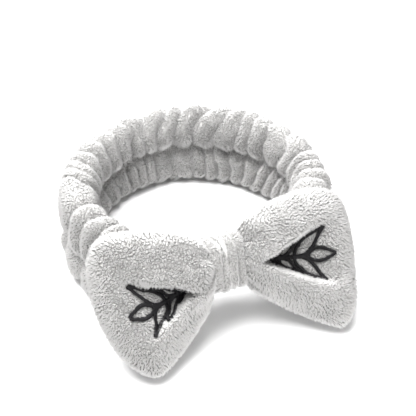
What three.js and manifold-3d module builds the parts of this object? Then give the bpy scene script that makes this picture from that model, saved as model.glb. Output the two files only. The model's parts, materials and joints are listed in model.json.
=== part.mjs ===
// A plush spa headband: a gathered fleece sleeve over an elastic loop, with a padded bow held on its front by a
// fleece wrap. Millimetres, +Z up. The band stands on its lower edge and the bow faces -Y.
// "left" and "right" are as seen by someone who faces the bow, so left is -X.
import * as THREE from "three";
import { mergeVertices } from "three/addons/utils/BufferGeometryUtils.js";
import Module from "manifold-3d";

const wasm = await Module();
wasm.setup();

// ---- Driving dimensions -------------------------------------------------------------------------------------
const LOOP_HALF_WIDTH = 76; // centre of the sleeve to the middle of the loop, across X
const LOOP_HALF_DEPTH = 70; // the same, along Y
const LOOP_TRI_LOBE = 0.022; // how far the loop leaves an ellipse: flatter in front, fuller behind
const BAND_HEIGHT = 54; // sleeve, from lower to upper edge
const BAND_THICKNESS = 25; // sleeve, from the head side to the outside
const SECTION_SQUARENESS = 0.62; // 1 is an ellipse, 0 a rectangle
const FOOT_FLAT = 1.2; // how much of the lower edge the band's own weight flattens
const TILT_MEAN = -1.5; // lean of the sleeve in degrees, positive with its top towards the head
const TILT_FRONT = 15.5; // extra lean in front, and its opposite behind
const TILT_RIGHT = -5.5; // extra lean on the right, and its opposite on the left

const FLEECE = 3; // fleece cloth with its pile
const CLOTH_GAP = 0.6; // between two soft pieces that lie on each other
const CUT_GAP = 0.4; // between the ends of two neighbouring sleeve or elastic lengths

const CINCH_HALF_ANGLE = 14; // degrees either side of the front over which the squeeze is full
const CINCH_FADE_ANGLE = 52; // where the sleeve has its full size again
const SIDE_FROM_ANGLE = 70; // the side lengths of the sleeve run between these two angles from the front
const SIDE_TO_ANGLE = 110;

const ELASTIC_WIDTH = 16;
const ELASTIC_THICKNESS = 1.2;
const ELASTIC_LAP = 18; // the two ends of the elastic lie over each other for this length, in front
const ELASTIC_LAP_GAP = 0.3;

const THREAD_RADIUS = 0.45;
const THREAD_SIDES = 5;
// Where the wrap squeezes the sleeve, the lapped elastic has this free room on each face, and at each edge.
const CINCH_ROOM_ACROSS = 1.45;
const CINCH_ROOM_ALONG = 1.5;
const LAP_THICKNESS = 2 * ELASTIC_THICKNESS + ELASTIC_LAP_GAP + 2 * THREAD_RADIUS;
const CINCH_THICKNESS = LAP_THICKNESS + 2 * (CINCH_ROOM_ACROSS + FLEECE); // 12.5 mm
const CINCH_HEIGHT = ELASTIC_WIDTH + 2 * (CINCH_ROOM_ALONG + FLEECE); // 25 mm
const END_SEAM_GAP = 2 * THREAD_RADIUS + 0.7; // the two ends of the sleeve leave this for their seam

const KNOT = new THREE.Vector3(-4.5, -75, 41); // middle of the bow
const KNOT_LEAN = 27; // degrees that the knot and the squeezed sleeve lean back
const BOW_YAW = 2.5; // the bow's left wing sits a little further forward than its right one
const WRAP_WIDTH = 20;
const WRAP_THICKNESS = 3.5;
const WRAP_SLACK = 1.6; // the wrap stands off the sleeve behind it, which curves away from it
const WRAP_CORNER = 0.42; // as SECTION_SQUARENESS, for the loop of the wrap

const WAIST_HALF_HEIGHT = 12; // pinched middle of the bow
const WAIST_FRONT = 8; // its front surface, ahead of the bow's middle plane
const WAIST_BACK = 5.5; // its back surface, behind that plane
const WAIST_HALF_LENGTH = 5.5;
const PLEAT_LENGTH = 4.8; // pleated neck between the waist and a wing
const LIFT_RANGE = 6; // degrees that a wing can be lifted or pressed down
const FLAP_BACK_RANGE = 5; // degrees that a wing can be folded back

// The wings are pulled out by hand, so they differ a little.
const WING_SHAPES = {
  left: {
    length: 54, // from the pleat to the outer end
    slant: 7, // the upper corner reaches this much further out, and the lower one less
    bulge: 12, // of the outer end between its corners
    top: 45.5, // height of the upper corner over the wing's middle line
    bottom: 42, // and of the lower corner under it
    topRise: 0.76, // the smaller, the sooner the wing is that high
    bottomRise: 0.5,
    foldAt: -6.5, // height of the valley's middle
    sprigAt: -0.12, // height of the embroidery, as a share
  },
  right: {
    length: 61,
    slant: 7,
    bulge: 5,
    top: 43,
    bottom: 44.5,
    topRise: 0.6,
    bottomRise: 0.8,
    foldAt: -0.5,
    sprigAt: 0.07,
  },
};
const WING_CORNER = 5; // how far the corners are drawn in, both ways
const WING_CORNER_POWER = 6; // the higher, the closer the rounding stays to the corner
const BAND_GIVES = 15.12; // of half the band's height, what the band yields to the wings in front of it
const WING_FORWARD = BAND_HEIGHT / 2 - BAND_GIVES; // the rest pushes their outer ends this far forward
const WING_DROOP = 7.5; // and this far below it
const WING_LEAN = 46; // degrees, at the outer end
const WING_PUFF_FRONT = 7.5; // crown of the front panel over its rim, at the outer end
const WING_PUFF_BACK = 4;
const RIM_GAP = 1.7; // half the space between the two panels at the rim
const FOLD_DEPTH = 7; // valley along the front panel
const FOLD_START = 0.1; // share of the wing's length at which the valley is as deep as that
const FOLD_END = 0.86; // and at which it has flattened out
const FOLD_HALF_WIDTH = 2; // at the pleat
const FOLD_SPREAD = 24; // added to that at the outer end

const BACKING_THICKNESS = 0.5;
const BACKING_GAP = 0.3;
const STITCH_WIDTH = 2.7; // embroidered line
const STITCH_HEIGHT = 1;
const STITCH_GAP = 0.6;

// ---- Materials ----------------------------------------------------------------------------------------------
const cloth = (color, roughness) => new THREE.MeshStandardMaterial({ color, roughness, metalness: 0 });
const FLEECE_GREY = cloth("#d2d0cd", 0.95);
const FLEECE_WRAP = cloth("#cfcdc9", 0.95);
const ELASTIC_WHITE = cloth("#eceae4", 0.7);
const THREAD_GREY = cloth("#bdbab5", 0.6);
const THREAD_BLACK = cloth("#17161a", 0.45);
const WADDING_WHITE = cloth("#f4f3f0", 1);
const BACKING_WHITE = cloth("#f0efec", 0.9);

// ---- Small helpers ------------------------------------------------------------------------------------------
const radians = THREE.MathUtils.degToRad;
const mix = THREE.MathUtils.lerp;
const ease = (x, from, to) => THREE.MathUtils.smoothstep(x, from, to);
const steps = (from, to, count) => Array.from({ length: count + 1 }, (_, i) => mix(from, to, i / count));
const sideName = (side) => (side < 0 ? "left" : "right");

// A closed solid between two grids of points of the same size. `outer` is the side whose rows run along the
// first index and columns along the second; `turned` swaps the faces' direction, and `ring` joins the last
// column to the first.
function thickSheet(outer, inner, { turned = false, ring = false } = {}) {
  const rows = outer.length;
  const columns = outer[0].length;
  const points = [...outer.flat(), ...inner.flat()];
  const index = [];
  const at = (layer, i, j) => layer * rows * columns + i * columns + (j % columns);
  const quad = (a, b, c, d) => index.push(...(turned ? [a, c, b, a, d, c] : [a, b, c, a, c, d]));
  const lastColumn = ring ? columns : columns - 1;
  for (let i = 0; i < rows - 1; i++)
    for (let j = 0; j < lastColumn; j++) {
      quad(at(0, i, j), at(0, i + 1, j), at(0, i + 1, j + 1), at(0, i, j + 1));
      quad(at(1, i, j), at(1, i, j + 1), at(1, i + 1, j + 1), at(1, i + 1, j));
    }
  for (let j = 0; j < lastColumn; j++) {
    quad(at(0, 0, j), at(0, 0, j + 1), at(1, 0, j + 1), at(1, 0, j));
    quad(at(0, rows - 1, j), at(1, rows - 1, j), at(1, rows - 1, j + 1), at(0, rows - 1, j + 1));
  }
  for (let i = 0; i < rows - 1 && !ring; i++) {
    quad(at(0, i, 0), at(1, i, 0), at(1, i + 1, 0), at(0, i + 1, 0));
    const k = columns - 1;
    quad(at(0, i, k), at(0, i + 1, k), at(1, i + 1, k), at(1, i, k));
  }
  const geometry = new THREE.BufferGeometry().setFromPoints(points);
  geometry.setIndex(index);
  return geometry;
}

// A thread along a line of points.
const THREAD_STEPS_PER_POINT = 1.5;
function threadAlong(points, radius = THREAD_RADIUS) {
  const path = new THREE.CatmullRomCurve3(points, false, "centripetal");
  const section = new THREE.Shape();
  for (let k = 0; k < THREAD_SIDES; k++) {
    const turn = (2 * Math.PI * k) / THREAD_SIDES;
    section[k ? "lineTo" : "moveTo"](radius * Math.cos(turn), radius * Math.sin(turn));
  }
  const count = Math.ceil(points.length * THREAD_STEPS_PER_POINT);
  return new THREE.ExtrudeGeometry(section, { steps: count, extrudePath: path, curveSegments: 1 });
}

// Joins closed geometries into one.
function joined(geometries) {
  const solids = geometries.map((geometry) => {
    const bare = geometry.clone();
    bare.deleteAttribute("normal");
    bare.deleteAttribute("uv");
    const merged = mergeVertices(bare, 1e-4);
    const vertProperties = merged.attributes.position.array;
    return new wasm.Manifold(
      new wasm.Mesh({ numProp: 3, vertProperties, triVerts: new Uint32Array(merged.index.array) }),
    );
  });
  const whole = solids.reduce((sum, solid) => sum.add(solid)).getMesh();
  const geometry = new THREE.BufferGeometry();
  geometry.setAttribute("position", new THREE.BufferAttribute(new Float32Array(whole.vertProperties), 3));
  geometry.setIndex(new THREE.BufferAttribute(whole.triVerts, 1));
  return geometry;
}

const headband = new THREE.Group();
function piece(name, geometry, material, parent = headband) {
  const mesh = new THREE.Mesh(geometry, material);
  mesh.name = name;
  parent.add(mesh);
  return mesh;
}

// ---- The knot's frame ---------------------------------------------------------------------------------------
// Its x runs along the bow, its v up the bow and its w out of the bow's front.
const bow = new THREE.Group();
bow.position.copy(KNOT);
bow.rotation.z = radians(BOW_YAW);
headband.add(bow);
const SLEEVE_BEHIND_WAIST = WAIST_BACK + CLOTH_GAP + CINCH_THICKNESS / 2;

// A point of the bow from x, a height v and a depth w, where the bow leans back by `lean` degrees.
function bowPoint(x, v, w, lean, forward = 0, droop = 0) {
  const [s, c] = [Math.sin(radians(lean)), Math.cos(radians(lean))];
  return new THREE.Vector3(x, -forward + v * s - w * c, -droop + v * c + w * s);
}

// ---- The band -----------------------------------------------------------------------------------------------
// How strongly the wrap squeezes the sleeve at an angle from the front: 1 in front, 0 past the fade.
const cinch = (degrees) => 1 - ease(Math.abs(degrees), CINCH_HALF_ANGLE, CINCH_FADE_ANGLE);

function superellipse(halfWidth, halfHeight, turn, squareness = SECTION_SQUARENESS) {
  const [c, s] = [Math.cos(turn), Math.sin(turn)];
  const power = (value) => Math.sign(value) * Math.abs(value) ** squareness;
  return [halfWidth * power(c), halfHeight * power(s)];
}

function loopCentre(degrees) {
  const turn = radians(degrees);
  const swell = 1 - LOOP_TRI_LOBE * Math.cos(3 * turn);
  const free = new THREE.Vector3(
    LOOP_HALF_WIDTH * swell * Math.sin(turn),
    -LOOP_HALF_DEPTH * swell * Math.cos(turn),
    0,
  );
  const held = KNOT.clone().add(bowPoint(0, 0, -SLEEVE_BEHIND_WAIST, KNOT_LEAN));
  const pull = cinch(degrees);
  free.y += pull * (held.y + LOOP_HALF_DEPTH * (1 - LOOP_TRI_LOBE));
  return { centre: free, heldHeight: held.z, pull };
}

const SECTION_SAMPLES = 64;
const BAND_AHEAD = 0.5; // degrees between the points that give the loop's direction

// Where the sleeve is at an angle from the front: its centre, its axes out and up, and its size.
function bandAt(degrees) {
  const { centre, heldHeight, pull } = loopCentre(degrees);
  const behind = loopCentre(degrees - BAND_AHEAD).centre;
  const along = loopCentre(degrees + BAND_AHEAD).centre.sub(behind).normalize();
  const outward = new THREE.Vector3(along.y, -along.x, 0);
  const turn = radians(degrees);
  const free = TILT_MEAN + TILT_FRONT * Math.cos(turn) + TILT_RIGHT * Math.sin(turn);
  const lean = radians(mix(free, KNOT_LEAN, pull));
  const up = new THREE.Vector3(0, 0, Math.cos(lean)).addScaledVector(outward, -Math.sin(lean));
  const out = new THREE.Vector3(0, 0, Math.sin(lean)).addScaledVector(outward, Math.cos(lean));
  const height = mix(BAND_HEIGHT, CINCH_HEIGHT, pull);
  const thickness = mix(BAND_THICKNESS, CINCH_THICKNESS, pull);
  const lowest = Math.min(
    ...steps(0, 2 * Math.PI, SECTION_SAMPLES).map((t) => {
      const [a, b] = superellipse(thickness / 2, height / 2, t);
      return out.z * a + up.z * b;
    }),
  );
  centre.z = mix(-lowest - FOOT_FLAT, heldHeight, pull);
  return { centre, out, up, height, thickness, pull };
}

const SECTION_POINTS = 20;
const DEGREES_PER_STEP = 9;

function sleeveRing(degrees, inset) {
  const band = bandAt(degrees);
  return steps(0, 2 * Math.PI, SECTION_POINTS)
    .slice(0, -1)
    .map((turn) => {
      const [a, b] = superellipse(band.thickness / 2 - inset, band.height / 2 - inset, turn);
      const point = band.centre.clone().addScaledVector(band.out, a).addScaledVector(band.up, b);
      point.z = Math.max(point.z, inset); // the lower edge lies flat
      return point;
    });
}

// Degrees of the loop that a length along it takes, at an angle from the front.
function degreesFor(length, degrees = 0) {
  const ahead = loopCentre(degrees + BAND_AHEAD).centre.distanceTo(loopCentre(degrees - BAND_AHEAD).centre);
  return (length * 2 * BAND_AHEAD) / ahead;
}

function sleeveLength(name, from, to) {
  const angles = steps(from, to, Math.ceil(Math.abs(to - from) / DEGREES_PER_STEP));
  const outer = angles.map((angle) => sleeveRing(angle, 0));
  const inner = angles.map((angle) => sleeveRing(angle, FLEECE));
  piece(name, thickSheet(outer, inner, { ring: true }), FLEECE_GREY);
}

// The sleeve is one tube of fleece. It is modelled in five lengths, because it stretches between them.
const SIDE_FROM_CUT = degreesFor(CUT_GAP / 2, SIDE_FROM_ANGLE);
const SIDE_TO_CUT = degreesFor(CUT_GAP / 2, SIDE_TO_ANGLE);
const SEAM_HALF = degreesFor(END_SEAM_GAP / 2);
sleeveLength("sleeve_front_left", -SIDE_FROM_ANGLE + SIDE_FROM_CUT, -SEAM_HALF);
sleeveLength("sleeve_front_right", SEAM_HALF, SIDE_FROM_ANGLE - SIDE_FROM_CUT);
sleeveLength("sleeve_side_left", -SIDE_TO_ANGLE + SIDE_TO_CUT, -SIDE_FROM_ANGLE - SIDE_FROM_CUT);
sleeveLength("sleeve_side_right", SIDE_FROM_ANGLE + SIDE_FROM_CUT, SIDE_TO_ANGLE - SIDE_TO_CUT);
sleeveLength("sleeve_rear", SIDE_TO_ANGLE + SIDE_TO_CUT, 360 - SIDE_TO_ANGLE - SIDE_TO_CUT);

// The seam that joins the sleeve's two ends, behind the wrap. It stops one point short of its own beginning.
piece("sleeve_end_seam", threadAlong(sleeveRing(0, FLEECE / 2).slice(0, -1)), THREAD_GREY);

// The seam along the inside of the sleeve's lower edge, in the same five lengths.
const LONG_SEAM_LIFT = 0.5; // from the inside of the lower edge to the thread
const LONG_SEAM_START = 4.8; // from the end seam, along the band
function longSeam(name, from, to) {
  const points = steps(from, to, Math.ceil(Math.abs(to - from) / DEGREES_PER_STEP)).map((angle) => {
    const band = bandAt(angle);
    const down = band.height / 2 - FLEECE - THREAD_RADIUS - LONG_SEAM_LIFT;
    const lift = new THREE.Vector3(0, 0, FOOT_FLAT * (1 - band.pull)); // clears the flattened foot
    return band.centre.clone().addScaledVector(band.up, -down).add(lift);
  });
  piece(name, threadAlong(points), THREAD_GREY);
}
const SEAM_END = degreesFor(LONG_SEAM_START);
longSeam("long_seam_front_left", -SIDE_FROM_ANGLE + SIDE_FROM_CUT, -SEAM_END);
longSeam("long_seam_front_right", SEAM_END, SIDE_FROM_ANGLE - SIDE_FROM_CUT);
longSeam("long_seam_side_left", -SIDE_TO_ANGLE + SIDE_TO_CUT, -SIDE_FROM_ANGLE - SIDE_FROM_CUT);
longSeam("long_seam_side_right", SIDE_FROM_ANGLE + SIDE_FROM_CUT, SIDE_TO_ANGLE - SIDE_TO_CUT);
longSeam("long_seam_rear", SIDE_TO_ANGLE + SIDE_TO_CUT, 360 - SIDE_TO_ANGLE - SIDE_TO_CUT);

// ---- The elastic --------------------------------------------------------------------------------------------
// A flat woven strip on the sleeve's middle, its ends lapped in front; `shift` moves a length outwards.
const ELASTIC_RISE = 1; // clears the long seam below it
function elasticLength(name, from, to, shiftAt = () => 0) {
  const angles = steps(from, to, Math.max(2, Math.ceil(Math.abs(to - from) / DEGREES_PER_STEP)));
  const layer = (side) =>
    angles.map((angle) => {
      const band = bandAt(angle);
      const offset = shiftAt(angle) + (side * ELASTIC_THICKNESS) / 2;
      return [-1, 1].map((edge) =>
        band.centre
          .clone()
          .addScaledVector(band.out, offset)
          .addScaledVector(band.up, ELASTIC_RISE + (edge * ELASTIC_WIDTH) / 2),
      );
    });
  piece(name, thickSheet(layer(1), layer(-1)), ELASTIC_WHITE);
}
const LAP_HALF = degreesFor(ELASTIC_LAP / 2);
const LAP_FADE = 2.5 * LAP_HALF; // where a lapped end is back on the sleeve's middle
const LAP_SHIFT = (ELASTIC_THICKNESS + ELASTIC_LAP_GAP) / 2;
const lapFade = (side) => (angle) => side * LAP_SHIFT * (1 - ease(Math.abs(angle), LAP_HALF, LAP_FADE));
elasticLength("elastic_front_left", -SIDE_FROM_ANGLE + SIDE_FROM_CUT, LAP_HALF, lapFade(1));
elasticLength("elastic_front_right", -LAP_HALF, SIDE_FROM_ANGLE - SIDE_FROM_CUT, lapFade(-1));
elasticLength("elastic_side_left", -SIDE_TO_ANGLE + SIDE_TO_CUT, -SIDE_FROM_ANGLE - SIDE_FROM_CUT);
elasticLength("elastic_side_right", SIDE_FROM_ANGLE + SIDE_FROM_CUT, SIDE_TO_ANGLE - SIDE_TO_CUT);
elasticLength("elastic_rear", SIDE_TO_ANGLE + SIDE_TO_CUT, 360 - SIDE_TO_ANGLE - SIDE_TO_CUT);

// The thread that runs to and fro over the lapped ends, on the outer one.
const LAP_STITCH_WAVES = 3;
const LAP_STITCH_POINTS = 30;
const LAP_STITCH_HALF_LENGTH = ELASTIC_LAP / 2 - 3;
const LAP_STITCH_HALF_HEIGHT = 0.42 * ELASTIC_WIDTH;
function lapStitch() {
  const out = LAP_SHIFT + ELASTIC_THICKNESS / 2 + THREAD_RADIUS + ELASTIC_LAP_GAP / 2;
  const points = steps(0, 1, LAP_STITCH_POINTS).map((share) => {
    const along = LAP_STITCH_HALF_LENGTH * Math.sin(2 * Math.PI * LAP_STITCH_WAVES * share);
    const band = bandAt(degreesFor(along));
    const rise = ELASTIC_RISE + mix(-1, 1, share) * LAP_STITCH_HALF_HEIGHT;
    return band.centre.clone().addScaledVector(band.out, out).addScaledVector(band.up, rise);
  });
  piece("elastic_lap_stitch", threadAlong(points), THREAD_GREY);
}
lapStitch();

// ---- The bow's cross-section --------------------------------------------------------------------------------
const WING_START = WAIST_HALF_LENGTH + CUT_GAP + PLEAT_LENGTH + CUT_GAP; // where a wing leaves its pleat

// Places on a wing are shares: s from 0 at its pleat to 1 at its outer end, and t from -1 at its lower rim to 1
// at its upper rim. The pleats and the waist have the section of s = 0.
const WAIST_SHARE = 0;
const PUFF_GROWTH = 0.5; // share of the length over which the filling reaches its full crown

// Height of a place over the wing's middle line.
function heightAt(side, s, t) {
  const { top, bottom, topRise, bottomRise } = WING_SHAPES[sideName(side)];
  const [end, rise] = t < 0 ? [bottom, bottomRise] : [top, topRise];
  return t * mix(WAIST_HALF_HEIGHT, end, s ** rise);
}

// Crown of a cushion between its upper and lower rim: 1 in the middle, 0 at the rim.
const crown = (t) => Math.sqrt(Math.max(0, 1 - Math.abs(t) ** 2.6));
// The outer end's rim, in the same way.
const endCrown = (s) => Math.sqrt(Math.max(0, 1 - s ** 7));

function foldDepth(side, s, t) {
  const halfWidth = FOLD_HALF_WIDTH + FOLD_SPREAD * s;
  const depth = FOLD_DEPTH * Math.sqrt(Math.max(0, 1 - s / FOLD_END)) * ease(s, 0, FOLD_START);
  return depth * Math.exp(-(((heightAt(side, s, t) - WING_SHAPES[sideName(side)].foldAt) / halfWidth) ** 4));
}

function frontDepth(side, s, t) {
  const rim = RIM_GAP + FLEECE;
  const puff = mix(WAIST_FRONT - rim, WING_PUFF_FRONT, ease(s, 0, PUFF_GROWTH));
  return Math.max(rim, rim + puff * crown(t) * endCrown(s) - foldDepth(side, s, t));
}

function backDepth(side, s, t) {
  const rim = RIM_GAP + FLEECE;
  return rim + mix(WAIST_BACK - rim, WING_PUFF_BACK, ease(s, 0, PUFF_GROWTH)) * crown(t) * endCrown(s);
}

const innerDepth = (depth) => Math.max(RIM_GAP, depth - FLEECE);

// A point of a wing from its two shares and its depth w. The back of its root is cut away, so that the wing can
// fold back without pressing on the pleat.
const ROOT_CUT_END = 1 / 3; // share of the length over which the cut runs out
function wingPoint(side, s, t, w) {
  const { length, slant, bulge } = WING_SHAPES[sideName(side)];
  const corner = WING_CORNER * Math.abs(s * t) ** WING_CORNER_POWER;
  const fade = Math.max(0, 1 - s / ROOT_CUT_END) ** 2;
  const rootCut = (WAIST_FRONT - w) * Math.tan(radians(FLAP_BACK_RANGE)) * fade;
  const x = WING_START + rootCut + (length + slant * t + bulge * (1 - t * t)) * s - corner;
  const v = heightAt(side, s, t) - Math.sign(t) * corner;
  const lean = mix(KNOT_LEAN, WING_LEAN, ease(s, 0, 0.9));
  return bowPoint(side * x, v, w, lean, WING_FORWARD * s, WING_DROOP * s ** 1.2);
}

const grid = (rows, columns, make) => rows.map((s) => columns.map((t) => make(s, t)));
// Rows and columns of a panel lie closer together towards its rims and along the fold.
const WING_ROWS = [0, 0.06, 0.13, 0.21, 0.3, 0.4, 0.5, 0.6, 0.7, 0.79, 0.87, 0.94, 1];
const HALF_COLUMNS = [0.12, 0.24, 0.36, 0.48, 0.6, 0.72, 0.84, 0.94, 1];
const PANEL_COLUMNS = [...HALF_COLUMNS.map((t) => -t).reverse(), 0, ...HALF_COLUMNS];
const PADDING_ROWS = WING_ROWS.slice(1, -2);
const PADDING_COLUMNS = PANEL_COLUMNS.slice(2, -2);
const EDGE_SEAM_SHARE = 0.96; // the seam thread runs this share of the way out to the rim
const EDGE_SEAM_START = 0.04; // share of the wing's length at which it starts

// ---- Waist, pleats and wings --------------------------------------------------------------------------------
function waist() {
  const across = steps(-WAIST_HALF_LENGTH, WAIST_HALF_LENGTH, 2);
  const layer = (depthOf, sign) =>
    grid(across, PANEL_COLUMNS, (x, t) =>
      bowPoint(x, t * WAIST_HALF_HEIGHT, sign * depthOf(1, WAIST_SHARE, t), KNOT_LEAN),
    );
  piece("bow_waist", thickSheet(layer(frontDepth, 1), layer(backDepth, -1)), FLEECE_GREY, bow);
}
waist();

// The neck between the waist and a wing. Its inner end is cut at a slant, so that the wing can be lifted.
function pleat(side) {
  const from = WAIST_HALF_LENGTH + CUT_GAP;
  const layer = (depthOf, sign) =>
    grid([0, 0.5, 1], PANEL_COLUMNS, (share, t) => {
      const v = t * WAIST_HALF_HEIGHT;
      const liftCut = Math.abs(v) * Math.tan(radians(LIFT_RANGE)) * (1 - share);
      const x = from + liftCut + PLEAT_LENGTH * share;
      return bowPoint(side * x, v, sign * depthOf(side, WAIST_SHARE, t), KNOT_LEAN);
    });
  const sheet = thickSheet(layer(frontDepth, 1), layer(backDepth, -1), { turned: side < 0 });
  piece(`${sideName(side)}_pleat`, sheet, FLEECE_GREY, bow);
}

// A grid of points on a wing's inside or outside, from the depth at each place.
const wingLayer = (side, rows, columns, depthAt) =>
  grid(rows, columns, (s, t) => wingPoint(side, s, t, depthAt(side, s, t)));
const frontInside = (side, s, t) => innerDepth(frontDepth(side, s, t));
const backInside = (side, s, t) => innerDepth(backDepth(side, s, t));

function wingPanels(side) {
  const turned = side < 0;
  const name = sideName(side);
  const layer = (depthAt) => wingLayer(side, WING_ROWS, PANEL_COLUMNS, depthAt);
  const front = thickSheet(layer(frontDepth), layer(frontInside), { turned });
  piece(`${name}_wing_front_panel`, front, FLEECE_GREY, bow);
  const behind = (depthAt) => layer((...place) => -depthAt(...place));
  const back = thickSheet(behind(backDepth), behind(backInside), { turned: !turned });
  piece(`${name}_wing_back_panel`, back, FLEECE_GREY, bow);
}

const PADDING_GAP = BACKING_THICKNESS + 2 * BACKING_GAP; // leaves room for the backing in front of the wadding
function wadding(side) {
  const layer = (depthAt) => wingLayer(side, PADDING_ROWS, PADDING_COLUMNS, depthAt);
  const front = layer((...place) => frontInside(...place) - PADDING_GAP);
  const back = layer((...place) => PADDING_GAP - backInside(...place));
  piece(`${sideName(side)}_wadding`, thickSheet(front, back, { turned: side < 0 }), WADDING_WHITE, bow);
}

// Non-woven backing under the embroidery, between the front panel and the wadding.
const BACKING_ROWS = WING_ROWS.slice(2, 10);
const BACKING_COLUMNS = PANEL_COLUMNS.slice(4, -4);
function backing(side) {
  const layer = (below) =>
    wingLayer(side, BACKING_ROWS, BACKING_COLUMNS, (...place) => frontInside(...place) - below);
  const sheet = thickSheet(layer(BACKING_GAP), layer(BACKING_GAP + BACKING_THICKNESS), { turned: side < 0 });
  piece(`${sideName(side)}_embroidery_backing`, sheet, BACKING_WHITE, bow);
}

// The seam that joins the two panels along the upper rim, the outer end and the lower rim.
function edgeSeam(side) {
  const rim = EDGE_SEAM_SHARE;
  const line = [
    ...steps(EDGE_SEAM_START, rim, 6).map((s) => [s, rim]),
    ...steps(rim, -rim, 8).slice(1, -1).map((t) => [rim, t]),
    ...steps(rim, EDGE_SEAM_START, 6).map((s) => [s, -rim]),
  ];
  const points = line.map(([s, t]) => wingPoint(side, s, t, 0));
  piece(`${sideName(side)}_wing_edge_seam`, threadAlong(points), THREAD_GREY, bow);
}

// ---- Embroidery ---------------------------------------------------------------------------------------------
// A sprig: a stem along the wing with pointed leaves in outline. In shares, `at` is where a leaf leaves the stem
// and `tip` where it ends; `half` is half its width.
const STEM = [[0.13, -0.06], [0.28, -0.08], [0.44, -0.09], [0.6, -0.08]];
const LEAVES = [
  { at: [0.18, -0.07], tip: [0.33, 0.2], half: 2.6 },
  { at: [0.18, -0.07], tip: [0.33, -0.33], half: 2.6 },
  { at: [0.32, -0.08], tip: [0.52, 0.33], half: 3.3 },
  { at: [0.32, -0.08], tip: [0.51, -0.47], half: 3.3 },
  { at: [0.47, -0.09], tip: [0.73, 0.38], half: 3.9 },
  { at: [0.47, -0.09], tip: [0.71, -0.52], half: 3.9 },
  { at: [0.58, -0.08], tip: [0.81, -0.06], half: 3.5 },
];
const LEAF_POINTS = 12;
const LEAF_FULLEST = 0.85; // below 1, a leaf is widest before its middle
const SHARE_LENGTH = 66; // millimetres of one share along the wing, and up it
const SHARE_HEIGHT = 34;
const STROKE_STEP = 0.06; // each stroke lies this much higher than the one sewn before it

function stroke(side, line, order) {
  const rise = WING_SHAPES[sideName(side)].sprigAt;
  const places = line.map(([s, t]) => new THREE.Vector3(s, t + rise, 0));
  const curve = new THREE.CatmullRomCurve3(places, false, "centripetal");
  const samples = curve.getPoints(line.length + 1);
  const rows = samples.map((p, k) => {
    const [a, b] = [samples[Math.max(0, k - 1)], samples[Math.min(samples.length - 1, k + 1)]];
    const here = wingPoint(side, p.x, p.y, 0);
    const run = wingPoint(side, b.x, b.y, 0).sub(wingPoint(side, a.x, a.y, 0)).normalize();
    const acrossS = wingPoint(side, p.x + 0.01, p.y, 0).sub(here);
    const acrossT = wingPoint(side, p.x, p.y + 0.01, 0).sub(here);
    // The step in shares that moves half a stitch to the side of the line, in the wing's own plane.
    const [along, up] = [run.dot(acrossS) / acrossS.lengthSq(), run.dot(acrossT) / acrossT.lengthSq()];
    const sideways = [-up * acrossT.lengthSq(), along * acrossS.lengthSq()];
    const length = acrossS.clone().multiplyScalar(sideways[0]).addScaledVector(acrossT, sideways[1]).length();
    return [-1, 1].map((edge) => {
      const half = (edge * STITCH_WIDTH) / 2 / length;
      return [p.x + 0.01 * half * sideways[0], p.y + 0.01 * half * sideways[1]];
    });
  });
  const bottom = STITCH_GAP + order * STROKE_STEP;
  const layer = (gap) =>
    rows.map((row) => row.map(([s, t]) => wingPoint(side, s, t, frontDepth(side, s, t) + gap)));
  return thickSheet(layer(bottom + STITCH_HEIGHT), layer(bottom), { turned: side < 0 });
}

// A leaf is two strokes that meet in its tip.
function leafStrokes(side, { at, tip, half }, order) {
  const axis = [(tip[0] - at[0]) * SHARE_LENGTH, (tip[1] - at[1]) * SHARE_HEIGHT];
  const length = Math.hypot(...axis);
  return [-1, 1].map((edge, second) => {
    const line = steps(0, 1, LEAF_POINTS / 2).map((k) => {
      const bulge = (edge * half * Math.sin(Math.PI * k ** LEAF_FULLEST)) / length;
      return [
        mix(at[0], tip[0], k) - (bulge * axis[1]) / SHARE_LENGTH,
        mix(at[1], tip[1], k) + (bulge * axis[0]) / SHARE_HEIGHT,
      ];
    });
    return stroke(side, line, 2 * order + second + 1);
  });
}

function embroidery(side) {
  const strokes = [stroke(side, STEM, 0), ...LEAVES.flatMap((leaf, order) => leafStrokes(side, leaf, order))];
  piece(`${sideName(side)}_embroidery`, joined(strokes), THREAD_BLACK, bow);
}

for (const side of [-1, 1]) {
  pleat(side);
  wingPanels(side);
  wadding(side);
  backing(side);
  edgeSeam(side);
  embroidery(side);
}

// ---- The wrap -----------------------------------------------------------------------------------------------
// A strip of fleece round the waist and the sleeve, its ends sewn to each other on the head side.
const TIE_RADIUS = 0.6;
const wrapFront = WAIST_FRONT + 2 * CLOTH_GAP + 2 * TIE_RADIUS;
const wrapBack = WAIST_BACK + CLOTH_GAP + CINCH_THICKNESS + CLOTH_GAP + WRAP_SLACK;
const wrapHalfHeight = Math.max(WAIST_HALF_HEIGHT, CINCH_HEIGHT / 2) + CLOTH_GAP + 2 * TIE_RADIUS;
const WRAP_POINTS = 36;
const WRAP_SEAM_HALF = 0.9; // half the width of the slit on the head side that the closing seam lies in
const WRAP_SEAM_MARGIN = 2; // from the seam's ends to the wrap's edges

function wrapLoop(x, inset) {
  const middle = (wrapFront - wrapBack) / 2;
  const halfDepth = (wrapFront + wrapBack) / 2 + inset;
  const ends = { 0: -WRAP_SEAM_HALF, [WRAP_POINTS]: WRAP_SEAM_HALF }; // heights of the strip's two ends
  return steps(-Math.PI, Math.PI, WRAP_POINTS).map((turn, i) => {
    const [w, v] = superellipse(halfDepth, wrapHalfHeight + inset, turn, WRAP_CORNER);
    return bowPoint(x, ends[i] ?? v, middle + w, KNOT_LEAN);
  });
}

function wrap() {
  const across = steps(-WRAP_WIDTH / 2, WRAP_WIDTH / 2, 4);
  const outer = across.map((x) => wrapLoop(x, WRAP_THICKNESS));
  const inner = across.map((x) => wrapLoop(x, 0));
  piece("knot_wrap", thickSheet(outer, inner), FLEECE_WRAP, bow);
}
wrap();

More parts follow.
